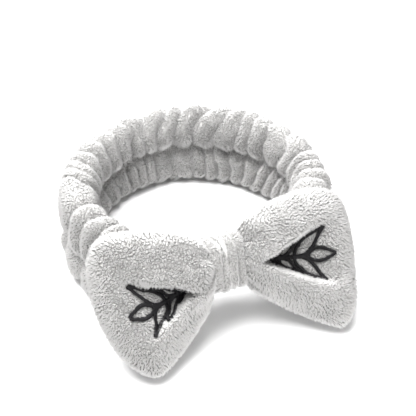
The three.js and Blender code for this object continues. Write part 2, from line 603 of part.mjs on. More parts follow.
// The ladder stitch that closes the wrap, in its slit.
function wrapSeam() {
  const depth = -wrapBack - WRAP_THICKNESS / 2;
  const half = WRAP_WIDTH / 2 - WRAP_SEAM_MARGIN;
  const rungs = steps(-half, half, 8);
  const points = rungs.map((x) => bowPoint(x, 0, depth, KNOT_LEAN));
  piece("wrap_closing_seam", threadAlong(points), THREAD_GREY, bow);
}
wrapSeam();

// The tied thread that pinches the waist under the wrap: one turn round its front and its two edges.
function waistTie() {
  const points = PANEL_COLUMNS.map((t) => {
    const v = t * WAIST_HALF_HEIGHT;
    return bowPoint(0, v, frontDepth(1, WAIST_SHARE, t) + CLOTH_GAP + TIE_RADIUS, KNOT_LEAN);
  });
  piece("waist_tie", threadAlong(points, TIE_RADIUS), THREAD_GREY, bow);
}
waistTie();

// The part's frame: the floor at z = 0, and the middle of the whole headband over the origin.
const centred = new THREE.Group();
centred.add(headband);
const middle = new THREE.Box3().setFromObject(headband, true).getCenter(new THREE.Vector3());
headband.position.set(-middle.x, -middle.y, 0);

export default centred;
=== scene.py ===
"""Looks of a plush spa headband: a gathered fleece sleeve, a padded bow held by a fleece wrap, their pile.

Surfaces are worked out in millimetres, in the row frame, and become metres when a mesh is made. "left" and
"right" are as seen by someone who faces the bow, so left is -X.
"""
import json
import math

import bpy
import numpy as np
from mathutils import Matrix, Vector
from mathutils.bvhtree import BVHTree
from mathutils.kdtree import KDTree

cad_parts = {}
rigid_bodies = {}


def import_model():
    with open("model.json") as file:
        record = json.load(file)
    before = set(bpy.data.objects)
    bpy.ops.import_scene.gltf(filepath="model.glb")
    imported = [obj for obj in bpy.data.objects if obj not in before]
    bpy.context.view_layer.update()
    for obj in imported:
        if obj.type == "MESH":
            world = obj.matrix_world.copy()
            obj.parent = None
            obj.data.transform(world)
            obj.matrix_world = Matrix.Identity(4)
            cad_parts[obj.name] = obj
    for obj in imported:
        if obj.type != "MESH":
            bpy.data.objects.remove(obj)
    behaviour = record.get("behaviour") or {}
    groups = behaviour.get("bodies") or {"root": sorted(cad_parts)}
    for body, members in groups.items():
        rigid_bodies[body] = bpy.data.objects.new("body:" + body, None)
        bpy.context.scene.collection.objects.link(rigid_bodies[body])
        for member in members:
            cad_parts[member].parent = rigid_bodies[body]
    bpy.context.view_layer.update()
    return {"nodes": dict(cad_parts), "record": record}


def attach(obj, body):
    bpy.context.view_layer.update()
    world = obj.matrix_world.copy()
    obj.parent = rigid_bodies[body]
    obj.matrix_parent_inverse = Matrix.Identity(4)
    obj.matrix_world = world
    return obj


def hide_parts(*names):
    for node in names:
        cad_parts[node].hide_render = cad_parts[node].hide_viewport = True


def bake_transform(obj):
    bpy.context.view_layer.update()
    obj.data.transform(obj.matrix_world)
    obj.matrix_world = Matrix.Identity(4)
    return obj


bl_info = {
    "name": "Spa headband",
    "version": (1, 0, 0),
    "blender": (4, 5, 0),
    "location": "View3D > Sidebar > Headband",
    "description": "Fleece covers, pile, embroidery and stage for a spa headband",
    "category": "Object",
}

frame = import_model()

MM = 0.001


def mount_position(name):
    """A mount's place in the row frame, in millimetres."""
    found = [m for m in frame["record"]["mounts"] if m["name"] == name]
    return np.array(found[0]["pos_m"]) / MM


LOOP_MIDDLE = mount_position("head_opening") * (1, 1, 0)

# ---- Shape of the loop, as the solids have it, in millimetres and degrees ------------------------
LOOP_HALF_WIDTH = 76.0
LOOP_HALF_DEPTH = 70.0
LOOP_TRI_LOBE = 0.022
TILT_MEAN, TILT_FRONT, TILT_RIGHT = -1.5, 15.5, -5.5
CINCH_HEIGHT, CINCH_THICKNESS = 25.0, 12.5
CINCH_FROM, CINCH_TO = 14.0, 60.0
SECTION_POWER = 0.62
SECTION_SLENDERNESS = 2.1  # height of a section over its thickness
KNOT = np.array([-4.5, -75.0, 41.0]) + LOOP_MIDDLE
KNOT_LEAN = 27.0
BOW_YAW = 2.5
WAIST_BACK = 5.5
CLOTH_GAP = 0.6
SLEEVE_BEHIND_WAIST = WAIST_BACK + CLOTH_GAP + CINCH_THICKNESS / 2
WING_START = 11.1
ROOT_HALF_HEIGHT = 16.2  # a wing as it leaves the wrap
HELD_HALF_HEIGHT = 10.8  # and inside the wrap
# Each wing, left (-1) and right (1): length, slant and bulge of its outer end, height of its corners over and
# under its middle, how soon it is that high, and how far the corners are drawn in, both ways.
WING_SHAPES = {
    -1: {
        "length": 55.2, "slant": 7.1, "bulge": 12.8, "top": 46.6, "bottom": 43.3,
        "top_rise": 0.76, "bottom_rise": 0.5, "corner": 4.5,
    },
    1: {
        "length": 61.9, "slant": 7.1, "bulge": 5.3, "top": 44.5, "bottom": 45.5,
        "top_rise": 0.55, "bottom_rise": 0.8, "corner": 5.6,
    },
}
CORNER_POWER = 6  # the higher, the closer the rounding stays to the corner
WING_FORWARD = 11.9
WING_DROOP = 7.5
WING_LEAN = 46.0
WRAP_FRONT, WRAP_BACK = 10.4, 20.8
WRAP_HALF_HEIGHT = 14.3
WRAP_POWER = 0.42
WRAP_THICKNESS = 3.5

FLOOR_CLEARANCE = 0.5  # cloth over the floor; the pile fills the rest


# ---- Settings ------------------------------------------------------------------------------------
def length(name, description, default):
    return bpy.props.FloatProperty(
        name=name, description=description, default=default, min=0.0, unit="LENGTH", subtype="DISTANCE",
        precision=4,
    )


def folds(name, description, default):
    return bpy.props.IntProperty(name=name, description=description, default=default, min=8)


def share(name, description, default):
    return bpy.props.FloatProperty(
        name=name, description=description, default=default, min=0.0, subtype="FACTOR"
    )


def colour(name, description, default):
    return bpy.props.StringProperty(name=name, description=description, default=default)


class BandSettings(bpy.types.PropertyGroup):
    """Sizes of the gathered sleeve."""

    height: length("Height", "Sleeve from lower to upper edge, with its pile", 0.054)
    thickness: length("Thickness", "Sleeve from the head side to the outside, with its pile", 0.025)
    gathers: folds("Gathers", "Folds round the loop", 34)
    inner_gathers: folds("Inner gathers", "Folds along the lower inside", 41)
    gather_depth: length("Gather depth", "Height of a gather over the groove beside it", 0.0042)
    grip_depth: length("Grip depth", "How far the elastic draws the middle of each face in", 0.0042)


class BowSettings(bpy.types.PropertyGroup):
    """Sizes of the padded bow."""

    lip_height: length("Lip height", "Crown of the two lips over the wing's middle plane", 0.0135)
    back_height: length("Back height", "Crown of the wing's back", 0.0078)
    fold_depth: length("Fold depth", "Valley between the lips", 0.013)
    lip_overhang: length("Lip overhang", "How far each lip leans over the valley", 0.006)
    wrap_width: length("Wrap width", "Fleece wrap, along the bow", 0.0205)


class PileSettings(bpy.types.PropertyGroup):
    """Sizes of the fleece's pile."""

    length: length("Pile length", "A tuft from root to tip", 0.0028)
    width: length("Tuft width", "A tuft at its root", 0.00048)
    density: bpy.props.FloatProperty(
        name="Tufts per square millimetre", description="How thickly the tufts stand", default=4.2, min=0.1
    )
    nap: share("Nap", "How far the tufts lie over the way the cloth was brushed", 0.4)
    clump: share("Clump", "How far neighbouring tufts lean together", 0.85)
    clump_size: length("Clump size", "Tufts that lean together, from one clump to the next", 0.0017)
    ruffle: share("Ruffle", "How far the nap is ruffled from place to place", 0.7)


class StitchSettings(bpy.types.PropertyGroup):
    """Sizes of the embroidery."""

    width: length("Stroke width", "A satin-stitched line", 0.0027)
    pitch: length("Stitch pitch", "From one stitch to the next along a line", 0.00042)
    thread: length("Thread", "Thread diameter", 0.0006)
    rise: length("Rise", "Middle of the stitches over the cloth", 0.0018)


class FinishSettings(bpy.types.PropertyGroup):
    """Colours as sRGB hex."""

    fleece: colour("Fleece", "Pile, light warm grey", "#d9d8d7")
    # Painted shade: this darker grey stands for the shadow between and under the tufts; the ground cloth and
    # every tuft's root are painted with it.
    fleece_root: colour("Fleece ground", "Knitted ground between the tufts", "#9b9a98")
    embroidery: colour("Embroidery", "Satin-stitch thread", "#0b0a0d")
    elastic: colour("Elastic", "Woven tape", "#eceae4")
    thread: colour("Sewing thread", "Seams", "#bdbab5")
    wadding: colour("Wadding", "Polyester filling and backing", "#f4f3f0")
    floor: colour("Floor", "Pale floor", "#fafafa")


SETTINGS = {
    "headband_band": BandSettings,
    "headband_bow": BowSettings,
    "headband_pile": PileSettings,
    "headband_stitch": StitchSettings,
    "headband_finish": FinishSettings,
}


# ---- Numbers along surfaces ----------------------------------------------------------------------
def ease(x, low, high):
    """0 below low, 1 above high, and smooth between."""
    t = np.clip((x - low) / (high - low), 0, 1)
    return t * t * (3 - 2 * t)


def bump(x, middle, half_width, power=2.0):
    return np.exp(-np.abs((x - middle) / half_width) ** power)


def ripple(points, size, seed, waves=14):
    """A smooth random field over points, mostly within -1 and 1, whose lumps are about `size` mm across."""
    rng = np.random.default_rng(seed)
    total = np.zeros(points.shape[:-1])
    for _ in range(waves):
        direction = rng.normal(size=3)
        direction /= np.linalg.norm(direction)
        wave_number = math.pi / (size * rng.uniform(0.75, 1.6))
        total += np.sin(points @ (direction * wave_number) + rng.uniform(0, 2 * math.pi))
    return total / math.sqrt(waves)


def unit(vectors):
    return vectors / np.maximum(np.linalg.norm(vectors, axis=-1, keepdims=True), 1e-9)


def signed_power(x, power):
    return np.sign(x) * np.abs(x) ** power


def grid_normals(points, rows_close, columns_close):
    """Unit normals of a grid of points, from its neighbours along both directions."""

    def slope(axis, closes):
        if closes:
            return np.roll(points, -1, axis) - np.roll(points, 1, axis)
        return np.gradient(points, axis=axis)

    return unit(np.cross(slope(0, rows_close), slope(1, columns_close)))


def sign_along(normals, away):
    """1 or -1, so that the normals times it mostly point along `away`."""
    return 1.0 if np.mean(np.sum(normals * away, -1)) > 0 else -1.0


# ---- The loop ------------------------------------------------------------------------------------
def squeeze(degrees):
    """1 where the wrap holds the sleeve, 0 where the sleeve is free."""
    from_front = np.abs((degrees + 180) % 360 - 180)
    return 1 - ease(from_front, CINCH_FROM, CINCH_TO)


def loop_centre(degrees):
    turn = np.radians(degrees)
    swell = 1 - LOOP_TRI_LOBE * np.cos(3 * turn)
    held_y = KNOT[1] - LOOP_MIDDLE[1] + SLEEVE_BEHIND_WAIST * math.cos(math.radians(KNOT_LEAN))
    x = LOOP_HALF_WIDTH * swell * np.sin(turn)
    y = -LOOP_HALF_DEPTH * swell * np.cos(turn)
    y = y + squeeze(degrees) * (held_y + LOOP_HALF_DEPTH * (1 - LOOP_TRI_LOBE))
    return np.stack([x, y, np.zeros_like(x)], -1) + LOOP_MIDDLE


def loop_frames(degrees, height, thickness):
    """Centre, outward axis, upward axis, half thickness and half height of the sleeve at each angle."""
    centre = loop_centre(degrees)
    along = unit(loop_centre(degrees + 0.5) - loop_centre(degrees - 0.5))
    outward = np.stack([along[:, 1], -along[:, 0], np.zeros(len(degrees))], -1)
    turn = np.radians(degrees)
    pull = squeeze(degrees)
    free = TILT_MEAN + TILT_FRONT * np.cos(turn) + TILT_RIGHT * np.sin(turn)
    lean = np.radians(free + (KNOT_LEAN - free) * pull)[:, None]
    rise = np.array([0.0, 0.0, 1.0])
    up = rise * np.cos(lean) - outward * np.sin(lean)
    out = rise * np.sin(lean) + outward * np.cos(lean)
    half_height = (height + (CINCH_HEIGHT - height) * pull) / 2
    half_thickness = (thickness + (CINCH_THICKNESS - thickness) * pull) / 2
    angles = np.linspace(0, 2 * math.pi, 64)
    reach = (
        out[:, 2:] * half_thickness[:, None] * signed_power(np.cos(angles), SECTION_POWER)
        + up[:, 2:] * half_height[:, None] * signed_power(np.sin(angles), SECTION_POWER)
    )
    held_z = KNOT[2] - SLEEVE_BEHIND_WAIST * math.sin(math.radians(KNOT_LEAN))
    centre[:, 2] = -reach.min(1) * (1 - pull) + held_z * pull
    return centre, out, up, half_thickness, half_height


def even_section(count):
    """A sleeve section's points, out and up as shares of its half sizes, evenly spaced round its outline."""
    angles = np.linspace(0, 2 * math.pi, 2001)
    across, upright = signed_power(np.cos(angles), SECTION_POWER), signed_power(np.sin(angles), SECTION_POWER)
    steps = np.hypot(np.diff(across), np.diff(upright * SECTION_SLENDERNESS))
    run = np.concatenate([[0], np.cumsum(steps)])
    wanted = np.linspace(0, run[-1], count, endpoint=False)
    return np.interp(wanted, run, across), np.interp(wanted, run, upright)


# ---- The bow -------------------------------------------------------------------------------------
def bow_point(x, v, w, lean, forward=0.0, droop=0.0):
    """A point x along the bow, v up it and w out of its front, where it leans back by `lean` degrees."""
    s, c = np.sin(np.radians(lean)), np.cos(np.radians(lean))
    x, v, w = np.broadcast_arrays(x, v, w)
    local = np.stack([x, -forward + v * s - w * c, -droop + v * c + w * s], -1)
    yaw = math.radians(BOW_YAW)
    turn = np.array([[math.cos(yaw), -math.sin(yaw), 0], [math.sin(yaw), math.cos(yaw), 0], [0, 0, 1]])
    return local @ turn.T + KNOT


def height_at(side, s, t):
    """Height of a place over the wing's middle line; s below 0 is inside the wrap."""
    shape, run = WING_SHAPES[side], np.maximum(s, 0)
    root = HELD_HALF_HEIGHT + (ROOT_HALF_HEIGHT - HELD_HALF_HEIGHT) * ease(s, -0.05, 0.07)
    above = (shape["top"] - ROOT_HALF_HEIGHT) * run ** shape["top_rise"]
    below = (shape["bottom"] - ROOT_HALF_HEIGHT) * run ** shape["bottom_rise"]
    return t * (root + np.where(t > 0, above, below))


def wing_point(side, s, t, w, shift=0.0):
    """A point of a wing from its shares along and up it, its depth, and a shift up the wing."""
    shape, run = WING_SHAPES[side], np.maximum(s, 0)
    lean = KNOT_LEAN + (WING_LEAN - KNOT_LEAN) * ease(run, 0, 0.9)
    corner = shape["corner"] * np.abs(run * t) ** CORNER_POWER
    x = WING_START + (shape["length"] + shape["slant"] * t + shape["bulge"] * (1 - t * t)) * s - corner
    v = height_at(side, s, t) - np.sign(t) * corner + shift
    return bow_point(side * x, v, w, lean, WING_FORWARD * run, WING_DROOP * run**1.2)


ROOT_CROWN = {-1: 9.5, 1: 6.5}  # depth of each wing's front as it leaves the wrap
ROOT_BACK = 4.2  # and of its back
VALLEY_MIDDLE = {-1: -6.5, 1: -0.5}  # height of the valley in each wing
VALLEY_START = {-1: 0.07, 1: 0.0}  # share of the wing's length at which it opens
VALLEY_HALF_WIDTH = 1.6  # as it opens
VALLEY_SPREAD = 28.0  # added to that in one length of the wing
VALLEY_SPREAD_END = 0.62  # share of the wing's length over which it widens
VALLEY_WALL_POWER = 7.0  # the higher, the steeper its walls
LIP_PUFF = 1.5  # the lips stand this much higher along the valley
UPPER_LIP = (5.0, 6.5)  # how far the upper lip's crest lies from the valley's edge, and half its width
LOWER_LIP = (4.5, 6.0)
LOWER_OVERHANG = 0.75  # share of the upper lip's


def wing_crown(s, t):
    """How full the filling is: 1 in the wing's middle and 0 at its rim."""
    return np.maximum(1 - np.abs(t) ** 3.2, 0) ** 0.5 * np.maximum(1 - np.maximum(s, 0) ** 7, 0) ** 0.5


def wing_front(side, s, t, bow):
    """Points of a wing's front cloth, with its two lips and the valley between them."""
    lip, depth, overhang = bow.lip_height / MM, bow.fold_depth / MM, bow.lip_overhang / MM
    crown = wing_crown(s, t)
    root = ROOT_CROWN[side]
    height = root + (lip - root) * ease(s, -0.04, 0.16)
    v = height_at(side, s, t)
    middle = VALLEY_MIDDLE[side]
    half_width = VALLEY_HALF_WIDTH + VALLEY_SPREAD * np.clip(s - VALLEY_START[side], 0, VALLEY_SPREAD_END)
    opening = ease(s, -0.03, 0.08)
    above, below = opening * (1 - ease(s, 0.42, 0.8)), opening * (1 - ease(s, 0.55, 0.92))
    share = np.where(v > middle, above, below)
    valley = depth * np.maximum(above, below * 0.9) * bump(v, middle, half_width, VALLEY_WALL_POWER)
    upper = bump(v, middle + half_width + UPPER_LIP[0], UPPER_LIP[1])
    lower = bump(v, middle - half_width - LOWER_LIP[0], LOWER_LIP[1])
    puffs = LIP_PUFF * share * (upper + lower)
    w = (height + puffs) * crown - valley
    shift = overhang * crown * (LOWER_OVERHANG * below * lower - above * upper)
    return wing_point(side, s, t, w, shift)


def wing_back(side, s, t, bow):
    height = ROOT_BACK + (bow.back_height / MM - ROOT_BACK) * ease(s, -0.02, 0.3)
    return wing_point(side, s, t, -height * wing_crown(s, t))


# ---- Meshes --------------------------------------------------------------------------------------
def placed(name, data):
    """A new object in the scene."""
    made = bpy.data.objects.new(name, data)
    bpy.context.scene.collection.objects.link(made)
    return made


def make_object(name, points_mm, faces):
    mesh = bpy.data.meshes.new(name)
    mesh.from_pydata((np.asarray(points_mm).reshape(-1, 3) * MM).tolist(), [], faces)
    mesh.update()
    made = placed(name, mesh)
    mesh.polygons.foreach_set("use_smooth", np.ones(len(mesh.polygons), bool))
    return made


def grid_faces(rows, columns, rows_close=False, columns_close=False, first=0):
    row_count = rows if rows_close else rows - 1
    column_count = columns if columns_close else columns - 1
    i, j = np.meshgrid(np.arange(row_count), np.arange(column_count), indexing="ij")
    ni, nj = (i + 1) % rows, (j + 1) % columns
    corners = np.stack([i * columns + j, ni * columns + j, ni * columns + nj, i * columns + nj], -1) + first
    return corners.reshape(-1, 4).tolist()


def faces_outward(made):
    """Turns the faces of a closed mesh outwards if they point inwards."""
    mesh = made.data
    points = np.array([v.co for v in mesh.vertices])
    volume = 0.0
    for polygon in mesh.polygons:
        corner = [points[k] for k in polygon.vertices]
        for a, b in zip(corner[1:], corner[2:]):
            volume += float(np.dot(corner[0], np.cross(a, b)))
    if volume < 0:
        mesh.flip_normals()
    return made


def point_values(made, name, values):
    """Stores one number or one vector for each vertex."""
    values = np.asarray(values, np.float32)
    kind, key = ("FLOAT", "value") if values.ndim == 1 else ("FLOAT_VECTOR", "vector")
    attribute = made.data.attributes.new(name, kind, "POINT")
    attribute.data.foreach_set(key, values.reshape(-1))


def mesh_points(mesh):
    """A mesh's vertices, in millimetres."""
    points = np.empty(len(mesh.vertices) * 3)
    mesh.vertices.foreach_get("co", points)
    return points.reshape(-1, 3) / MM


# ---- Materials -----------------------------------------------------------------------------------
def linear(hex_colour):
    """An sRGB hex colour as linear RGBA."""
    channels = [int(hex_colour[k : k + 2], 16) / 255 for k in (1, 3, 5)]
    return [c / 12.92 if c <= 0.04045 else ((c + 0.055) / 1.055) ** 2.4 for c in channels] + [1.0]


GROUND_PATCH = 3.0  # size in millimetres of the lighter patches and of the darker, painted-shade patches on the knitted ground
ROOT_SHADE_END = 0.55  # share of a tuft at which its painted root shade ends and it has its full colour


def new_material(name):
    material = bpy.data.materials.new(name)
    material.use_nodes = True
    return material, material.node_tree, material.node_tree.nodes["Principled BSDF"]


def add(tree, kind, inputs=None, **settings):
    """Adds a node with its settings. An input takes a value, a socket, or a node for its first output."""
    node = tree.nodes.new(kind)
    for key, value in settings.items():
        setattr(node, key, value)
    for key, value in (inputs or {}).items():
        if isinstance(value, bpy.types.Node):
            value = value.outputs[0]
        if isinstance(value, bpy.types.NodeSocket):
            tree.links.new(value, node.inputs[key])
        else:
            node.inputs[key].default_value = value
    return node


def fleece_ground_material(finish):
    """Knitted ground of the fleece: patches of tone, whose darker grey is painted shade for the gaps between
    the tufts.
    """
    material, tree, shader = new_material("fleece_ground")
    place = add(tree, "ShaderNodeTexCoord").outputs["Object"]
    patches = {"Scale": 1 / (GROUND_PATCH * MM), "Detail": 2.0, "Vector": place}
    noise = add(tree, "ShaderNodeTexNoise", patches)
    ramp = add(tree, "ShaderNodeValToRGB", {"Fac": noise})
    # Painted shade: the ramp's darker end is the gap-shade colour, laid in noise patches over the ground
    # cloth.
    darker, lighter = ramp.color_ramp.elements
    darker.position, lighter.position = 0.3, 0.7
    darker.color, lighter.color = linear(finish.fleece_root), linear(finish.fleece)
    tree.links.new(ramp.outputs["Color"], shader.inputs["Base Color"])
    shader.inputs["Roughness"].default_value = 1.0
    shader.inputs["Sheen Weight"].default_value = 0.2
    return material


def pile_material(finish):
    """Brushed polyester tufts: matt, with painted shade darkening each tuft towards its root, and the faint
    rim that fine fibres catch.
    """
    material, tree, shader = new_material("fleece_pile")
    up_the_tuft = add(tree, "ShaderNodeAttribute", attribute_name="up_the_tuft")
    # Painted shade: each tuft runs from the gap-shade colour at its root to the fleece colour at its tip.
    ramp = add(tree, "ShaderNodeValToRGB", {"Fac": up_the_tuft.outputs["Fac"]})
    root, tip = ramp.color_ramp.elements
    root.color, tip.color = linear(finish.fleece_root), linear(finish.fleece)
    tip.position = ROOT_SHADE_END
    tree.links.new(ramp.outputs["Color"], shader.inputs["Base Color"])
    shader.inputs["Roughness"].default_value = 0.85
    shader.inputs["Specular IOR Level"].default_value = 0.25
    shader.inputs["Sheen Weight"].default_value = 0.15
    shader.inputs["Sheen Roughness"].default_value = 0.5
    return material


def embroidery_material(finish):
    """Black rayon thread: dark, with a soft gleam along the satin stitches."""
    material, _, shader = new_material("embroidery_thread")
    shader.inputs["Base Color"].default_value = linear(finish.embroidery)
    shader.inputs["Roughness"].default_value = 0.6
    shader.inputs["Specular IOR Level"].default_value = 0.3
    return material


def plain_material(name, hex_colour, roughness):
    """Matt cloth, thread or filling that is out of sight when the band is whole."""
    material, _, shader = new_material(name)
    shader.inputs["Base Color"].default_value = linear(hex_colour)
    shader.inputs["Roughness"].default_value = roughness
    return material


def shared_material(name, maker, *arguments):
    return bpy.data.materials.get(name) or maker(*arguments)


def give_material(made, material):
    made.data.materials.clear()
    made.data.materials.append(material)


# ---- Geometry Nodes ------------------------------------------------------------------------------
MATH, VECTOR_MATH, RANDOM = "ShaderNodeMath", "ShaderNodeVectorMath", "FunctionNodeRandomValue"
STORED, ALIGN = "GeometryNodeInputNamedAttribute", "FunctionNodeAlignRotationToVector"
RUFFLE_SIZE = 9.0  # the nap turns this way and that over so many millimetres
RUFFLE_REACH = 2.0
STRAY = 0.22  # how far single tufts lean out of line
TUFT_SIDES = 3
TUFT_LENGTHS = (0.7, 1.15)  # shares of the pile's length
THREAD_SEGMENTS, THREAD_RINGS = 6, 5
THREAD_LENGTHS = (0.9, 1.12)  # shares of the stroke's width
THREAD_HEIGHT = 1.9  # a stitch is this many threads high


def new_tree(name, sockets):
    """A tree from geometry to geometry that takes the other sockets given, each with its kind and default."""
    tree = bpy.data.node_groups.new(name, "GeometryNodeTree")
    for title, (kind, default) in {"Geometry": ("Geometry", None), **sockets}.items():
        socket = tree.interface.new_socket(name=title, in_out="INPUT", socket_type="NodeSocket" + kind)
        if default is not None:
            socket.default_value = default
    tree.interface.new_socket(name="Geometry", in_out="OUTPUT", socket_type="NodeSocketGeometry")
    return tree, add(tree, "NodeGroupInput").outputs


def end_tree(tree, geometry, material):
    """Sends real geometry out of a tree, smooth and in its material."""
    smooth = add(tree, "GeometryNodeSetShadeSmooth", {"Geometry": geometry})
    finished = add(tree, "GeometryNodeSetMaterial", {"Geometry": smooth, "Material": material})
    add(tree, "NodeGroupOutput", {"Geometry": finished})
    return tree


def pile_tree():
    """Tufts that stand on a cloth, lie over its nap and lean together in clumps."""
    tree, given = new_tree("pile", {
        "Density": ("Float", 1e6),
        "Length": ("Float", 0.003),
        "Width": ("Float", 0.0008),
        "Nap": ("Float", 0.5),
        "Ruffle": ("Float", 0.8),
        "Clump": ("Float", 0.7),
        "Clump Size": ("Float", 0.0024),
        "Seed": ("Int", 0),
        "Floor": ("Float", 0.0002),
        "Material": ("Material", None),
    })
    place = add(tree, "GeometryNodeInputPosition")
    place_parts = add(tree, "ShaderNodeSeparateXYZ", {"Vector": place}).outputs
    thickness = add(tree, STORED, {"Name": "pile_density"}, data_type="FLOAT")
    density = add(tree, MATH, {0: given["Density"], 1: thickness}, operation="MULTIPLY")
    on_cloth = {"Mesh": given["Geometry"], "Density": density, "Seed": given["Seed"]}
    scatter = add(tree, "GeometryNodeDistributePointsOnFaces", on_cloth, distribute_method="RANDOM")

    nap = add(tree, STORED, {"Name": "nap"}, data_type="FLOAT_VECTOR")
    nap = add(tree, VECTOR_MATH, {0: nap, "Scale": given["Nap"]}, operation="SCALE")
    clumps_per_metre = add(tree, MATH, {0: 1.0, 1: given["Clump Size"]}, operation="DIVIDE")
    clumps = add(tree, "ShaderNodeTexVoronoi", {"Scale": clumps_per_metre, "Vector": place}, feature="F1")
    to_clump = add(tree, VECTOR_MATH, {0: clumps.outputs["Position"], 1: place}, operation="SUBTRACT")
    gathering = add(tree, MATH, {0: given["Clump"], 1: given["Length"]}, operation="DIVIDE")
    to_clump = add(tree, VECTOR_MATH, {0: to_clump, "Scale": gathering}, operation="SCALE")
    sweep = add(tree, "ShaderNodeTexNoise", {"Scale": 1 / (RUFFLE_SIZE * MM), "Detail": 1.0, "Vector": place})
    sweep = add(tree, VECTOR_MATH, {0: sweep.outputs["Color"], 1: (0.5, 0.5, 0.5)}, operation="SUBTRACT")
    reach = add(tree, MATH, {0: given["Ruffle"], 1: RUFFLE_REACH}, operation="MULTIPLY")
    sweep = add(tree, VECTOR_MATH, {0: sweep, "Scale": reach}, operation="SCALE")
    strays = {"Min": (-STRAY,) * 3, "Max": (STRAY,) * 3, "Seed": given["Seed"]}
    stray = add(tree, RANDOM, strays, data_type="FLOAT_VECTOR")
    direction = nap
    for pull in (to_clump, sweep, stray, scatter.outputs["Normal"]):
        direction = add(tree, VECTOR_MATH, {0: direction, 1: pull}, operation="ADD")
    turned = add(tree, ALIGN, {"Vector": direction}, axis="Z")

    cone = {"Vertices": TUFT_SIDES, "Radius Top": 0.0, "Radius Bottom": 0.5, "Depth": 1.0}
    tuft = add(tree, "GeometryNodeMeshCone", cone, fill_type="NGON")
    shade = {"Geometry": tuft, "Name": "up_the_tuft", "Value": place_parts["Z"]}
    shaded = add(tree, "GeometryNodeStoreNamedAttribute", shade, data_type="FLOAT", domain="POINT")
    uneven = add(tree, RANDOM, {2: TUFT_LENGTHS[0], 3: TUFT_LENGTHS[1]}, data_type="FLOAT")
    tall = add(tree, MATH, {0: given["Length"], 1: uneven.outputs[1]}, operation="MULTIPLY")
    local_length = add(tree, STORED, {"Name": "pile_length"}, data_type="FLOAT")
    tall = add(tree, MATH, {0: tall, 1: local_length}, operation="MULTIPLY")
    size = add(tree, "ShaderNodeCombineXYZ", {"X": given["Width"], "Y": given["Width"], "Z": tall})
    tufts = {"Points": scatter, "Instance": shaded, "Rotation": turned, "Scale": size}
    instances = add(tree, "GeometryNodeInstanceOnPoints", tufts)
    realized = add(tree, "GeometryNodeRealizeInstances", {0: instances})

    height = add(tree, MATH, {0: place_parts["Z"], 1: given["Floor"]}, operation="MAXIMUM")
    lifted = add(tree, "ShaderNodeCombineXYZ", {"X": place_parts["X"], "Y": place_parts["Y"], "Z": height})
    above_floor = add(tree, "GeometryNodeSetPosition", {"Geometry": realized, "Position": lifted})
    return end_tree(tree, above_floor, given["Material"])


def satin_tree():
    """Threads laid side by side across lines, each line's vertices knowing the cloth's normal."""
    tree, given = new_tree("satin_stitch", {
        "Pitch": ("Float", 0.0005),
        "Width": ("Float", 0.0024),
        "Thread": ("Float", 0.0005),
        "Seed": ("Int", 3),
        "Material": ("Material", None),
    })
    lines = add(tree, "GeometryNodeMeshToCurve", {"Mesh": given["Geometry"]})
    even = add(tree, "GeometryNodeResampleCurve", {"Curve": lines, "Length": given["Pitch"]}, mode="LENGTH")
    points = add(tree, "GeometryNodeCurveToPoints", {"Curve": even}, mode="EVALUATED")
    normal = add(tree, STORED, {"Name": "cloth_normal"}, data_type="FLOAT_VECTOR")
    upright = add(tree, ALIGN, {"Vector": normal}, axis="Z")
    along_line = {"Rotation": upright, "Vector": points.outputs["Tangent"]}
    across = add(tree, ALIGN, along_line, axis="Y", pivot_axis="Z")

    sphere = {"Segments": THREAD_SEGMENTS, "Rings": THREAD_RINGS, "Radius": 0.5}
    thread = add(tree, "GeometryNodeMeshUVSphere", sphere)
    lengths = {2: THREAD_LENGTHS[0], 3: THREAD_LENGTHS[1], "Seed": given["Seed"]}
    uneven = add(tree, RANDOM, lengths, data_type="FLOAT")
    long = add(tree, MATH, {0: given["Width"], 1: uneven.outputs[1]}, operation="MULTIPLY")
    high = add(tree, MATH, {0: given["Thread"], 1: THREAD_HEIGHT}, operation="MULTIPLY")
    size = add(tree, "ShaderNodeCombineXYZ", {"X": long, "Y": given["Thread"], "Z": high})
    stitches = {"Points": points, "Instance": thread, "Rotation": across, "Scale": size}
    instances = add(tree, "GeometryNodeInstanceOnPoints", stitches)
    realized = add(tree, "GeometryNodeRealizeInstances", {0: instances})
    return end_tree(tree, realized, given["Material"])


def grown(name, base, tree, **values):
    """The mesh that a tree makes on a copy of a base mesh, as a new plain object."""
    carrier = placed(name + "_carrier", base.data.copy())
    modifier = carrier.modifiers.new(tree.name, "NODES")
    modifier.node_group = tree
    for item in tree.interface.items_tree:
        wanted = values.get(item.name.lower().replace(" ", "_"))
        if item.item_type == "SOCKET" and item.in_out == "INPUT" and wanted is not None:
            modifier[item.identifier] = wanted
    evaluated = carrier.evaluated_get(bpy.context.evaluated_depsgraph_get())
    mesh = bpy.data.meshes.new_from_object(evaluated)
    mesh.name = name
    carrier_mesh = carrier.data
    bpy.data.objects.remove(carrier)
    bpy.data.meshes.remove(carrier_mesh)
    if not mesh.polygons:
        raise RuntimeError(f"{name} came out empty")
    return placed(name, mesh)


# ---- Covers --------------------------------------------------------------------------------------
SLEEVE_ROUND, SLEEVE_ACROSS = 760, 104
GATHER_MEAN, INNER_GATHER_MEAN = 0.76, 0.68  # mean height of the gathers, so that they leave the size alone
SLEEVE_NODES = [
    "sleeve_front_left", "sleeve_front_right", "sleeve_side_left", "sleeve_side_right", "sleeve_rear",
]
PILE_ALLOWANCE = 2.2  # the cloth lies this far under the pile's tips
SLEEVE_PILE_SHARE, WRAP_PILE_SHARE = 0.85, 0.7  # length of the pile there, as a share of the wings'
LOW_INSIDE_SET_BACK = 3.2  # the lower half of the inside lies this far back under the upper half
REAR_RISE = 2.6  # the gathers puff up this far along the rear's upper edge
TUCK_AT, TUCK_SLANT, TUCK_HALF_WIDTH = 205.0, 8.0, 2.3  # degrees: one fold is caught deeper than the rest
TUCK_DEPTH = 8.5
ELASTIC_ROOM = 2.6  # the elastic tape stops the cloth this far from the middle of the sleeve


